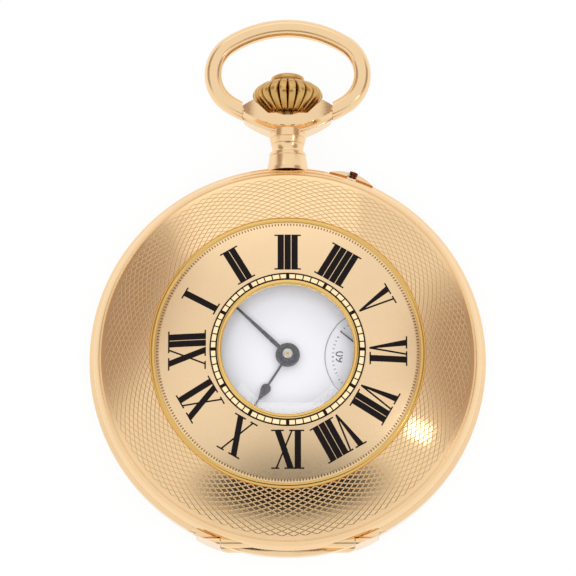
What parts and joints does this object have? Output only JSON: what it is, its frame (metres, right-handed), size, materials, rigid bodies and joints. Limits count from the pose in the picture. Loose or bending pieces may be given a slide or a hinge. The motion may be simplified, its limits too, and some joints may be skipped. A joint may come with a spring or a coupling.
{
  "type": "half hunter pocket watch",
  "caption": "Round gold half hunter pocket watch with a small round window in its hinged front cover, ribbed crown, oval bow, hinged back and a lever movement inside.",
  "frame": {"origin": "centre of the flat on the back cover, on which the watch lies", "axes": "+Z out of the dial, +Y along the stem to the pendant and bow (III on the dial), +X to the small seconds (VI on the dial)"},
  "size_m": [0.05, 0.0696, 0.0155],
  "materials": {
    "gold": "polished gold",
    "glass": "polished",
    "enamel": "white vitreous enamel",
    "blued_steel": "blued and polished",
    "steel": "polished",
    "gilt_plate": "frosted gilt",
    "brass_wheels": "polished",
    "ruby": "polished synthetic ruby"
  },
  "bodies": {
    "case": {"case_middle": "gold", "front_hinge_pin": "gold", "back_hinge_pin": "gold", "cuvette_hinge_pin": "gold", "pendant": "gold", "pusher_guard": "gold", "lock_spring": "steel", "lift_spring": "steel", "crystal": "glass", "glass_bezel": "gold", "dial": "enamel", "seconds_dial": "enamel", "main_plate": "gilt_plate", "barrel_bridge": "gilt_plate", "train_bridge": "gilt_plate", "pallet_cock": "gilt_plate", "balance_cock": "gilt_plate", "bridge_screws": "steel", "case_screws": "steel", "jewels": "ruby", "click_spring": "steel", "hairspring": "blued_steel"},
    "front_lid": {"front_cover": "gold", "window_glass": "glass", "window_rim": "gold"},
    "back_lid": {"back_cover": "gold"},
    "dust_lid": {"cuvette": "gold"},
    "bow": {"bow": "gold"},
    "winding": {"winding_pinion": "steel"},
    "crown": {"crown": "gold", "winding_stem": "steel"},
    "sliding_pinion": {"sliding_pinion": "steel"},
    "set_pusher": {"set_pusher": "steel"},
    "setting_lever": {"setting_lever": "steel"},
    "crown_wheel": {"crown_wheel": "steel"},
    "ratchet": {"ratchet_wheel": "steel", "barrel_arbor": "steel"},
    "click": {"click": "steel"},
    "fourth": {"fourth_wheel": "brass_wheels", "seconds_hand": "blued_steel"},
    "third": {"third_wheel": "brass_wheels"},
    "centre": {"centre_wheel": "brass_wheels", "cannon_pinion": "steel", "minute_hand": "blued_steel"},
    "barrel": {"barrel": "brass_wheels", "barrel_cover": "brass_wheels", "mainspring": "steel"},
    "escape": {"escape_wheel": "steel"},
    "minute_work": {"minute_wheel": "steel"},
    "hour": {"hour_wheel": "brass_wheels", "hour_hand": "blued_steel"},
    "setting_wheel": {"setting_wheel": "steel"},
    "fork": {"pallet_fork": "steel"},
    "balance": {"balance_wheel": "brass_wheels", "balance_staff": "steel"},
    "regulator": {"regulator": "steel"}
  },
  "joints": [
    {"name": "front_lid_hinge", "type": "hinge", "parent": "case", "child": "front_lid", "pos_m": [0, -0.0234, 0.0094], "axis": [1, 0, 0], "range_deg": [0, 95]},
    {"name": "back_lid_hinge", "type": "hinge", "parent": "case", "child": "back_lid", "pos_m": [0, -0.0234, 0.0056], "axis": [-1, 0, 0], "range_deg": [0, 100]},
    {"name": "dust_lid_hinge", "type": "hinge", "parent": "case", "child": "dust_lid", "pos_m": [0, -0.0221, 0.00555], "axis": [-1, 0, 0], "range_deg": [0, 80]},
    {"name": "bow_swing", "type": "hinge", "parent": "case", "child": "bow", "pos_m": [0, 0.03265, 0.0075], "axis": [1, 0, 0], "range_deg": [-120, 120]},
    {"name": "winding_turn", "type": "hinge", "parent": "case", "child": "winding", "pos_m": [0, 0.018, 0.0075], "axis": [0, 1, 0], "continuous": true},
    {"name": "crown_press", "type": "slide", "parent": "winding", "child": "crown", "axis": [0, -1, 0], "range_m": [0, 0.0005], "stiffness_N_per_m": 400, "springref_m": -0.0002},
    {"name": "sliding_pinion_shift", "type": "slide", "parent": "winding", "child": "sliding_pinion", "axis": [0, -1, 0], "range_m": [0, 0.0009]},
    {"name": "set_push", "type": "slide", "parent": "case", "child": "set_pusher", "axis": [-0.3256, -0.9455, 0], "range_m": [0, 0.00055], "stiffness_N_per_m": 200, "springref_m": -0.0002},
    {"name": "setting_lever_turn", "type": "hinge", "parent": "case", "child": "setting_lever", "pos_m": [0.0105, 0.0145, 0.0075], "axis": [0, 0, 1], "range_deg": [0, 7]},
    {"name": "crown_wheel_turn", "type": "hinge", "parent": "case", "child": "crown_wheel", "pos_m": [0, 0.014, 0.0075], "axis": [0, 0, 1], "continuous": true},
    {"name": "ratchet_turn", "type": "hinge", "parent": "case", "child": "ratchet", "pos_m": [-0.00594, 0.00594, 0.0075], "axis": [0, 0, 1], "continuous": true},
    {"name": "click_lift", "type": "hinge", "parent": "case", "child": "click", "pos_m": [-0.00795, 0.01343, 0.0075], "axis": [0, 0, 1], "range_deg": [0, 6], "stiffness_Nm_per_rad": 0.00002, "springref_deg": -5.73},
    {"name": "seconds_turn", "type": "hinge", "parent": "case", "child": "fourth", "pos_m": [0.0105, 0, 0.0075], "axis": [0, 0, -1], "continuous": true},
    {"name": "third_turn", "type": "hinge", "parent": "case", "child": "third", "pos_m": [0.00559, 0.005, 0.0075], "axis": [0, 0, -1], "continuous": true},
    {"name": "centre_turn", "type": "hinge", "parent": "case", "child": "centre", "pos_m": [0, 0, 0.0075], "axis": [0, 0, -1], "continuous": true},
    {"name": "barrel_turn", "type": "hinge", "parent": "case", "child": "barrel", "pos_m": [-0.00594, 0.00594, 0.0075], "axis": [0, 0, -1], "continuous": true},
    {"name": "escape_turn", "type": "hinge", "parent": "case", "child": "escape", "pos_m": [0.00933, -0.00665, 0.0075], "axis": [0, 0, -1], "continuous": true},
    {"name": "minute_work_turn", "type": "hinge", "parent": "case", "child": "minute_work", "pos_m": [0, 0.004, 0.0075], "axis": [0, 0, -1], "continuous": true},
    {"name": "hour_turn", "type": "hinge", "parent": "case", "child": "hour", "pos_m": [0, 0, 0.0075], "axis": [0, 0, -1], "continuous": true},
    {"name": "setting_wheel_turn", "type": "hinge", "parent": "case", "child": "setting_wheel", "pos_m": [0, 0.01, 0.0075], "axis": [0, 0, -1], "continuous": true},
    {"name": "fork_swing", "type": "hinge", "parent": "case", "child": "fork", "pos_m": [0.00703, -0.00858, 0.0075], "axis": [0, 0, -1], "range_deg": [-4, 4]},
    {"name": "balance_swing", "type": "hinge", "parent": "case", "child": "balance", "pos_m": [0.00351, -0.01153, 0.0075], "axis": [0, 0, -1], "range_deg": [-270, 270], "stiffness_Nm_per_rad": 0.000001},
    {"name": "regulator_turn", "type": "hinge", "parent": "case", "child": "regulator", "pos_m": [0.00351, -0.01153, 0.0075], "axis": [0, 0, -1], "range_deg": [-15, 15]}
  ],
  "couplings": [
    {"joint": "dust_lid_hinge", "follows": "back_lid_hinge", "ratio": 0.8},
    {"joint": "setting_lever_turn", "follows": "set_push", "rad_per_m": 191.94},
    {"joint": "sliding_pinion_shift", "follows": "set_push", "ratio": 1.62},
    {"joint": "crown_wheel_turn", "follows": "winding_turn", "ratio": 0.45455},
    {"joint": "ratchet_turn", "follows": "winding_turn", "ratio": -0.3125},
    {"joint": "third_turn", "follows": "seconds_turn", "ratio": -0.13333},
    {"joint": "centre_turn", "follows": "seconds_turn", "ratio": 0.016667},
    {"joint": "barrel_turn", "follows": "seconds_turn", "ratio": -0.0027778},
    {"joint": "escape_turn", "follows": "seconds_turn", "ratio": -8},
    {"joint": "minute_work_turn", "follows": "seconds_turn", "ratio": -0.0055556},
    {"joint": "hour_turn", "follows": "seconds_turn", "ratio": 0.0013889},
    {"joint": "setting_wheel_turn", "follows": "seconds_turn", "ratio": 0.0055556}
  ]
}
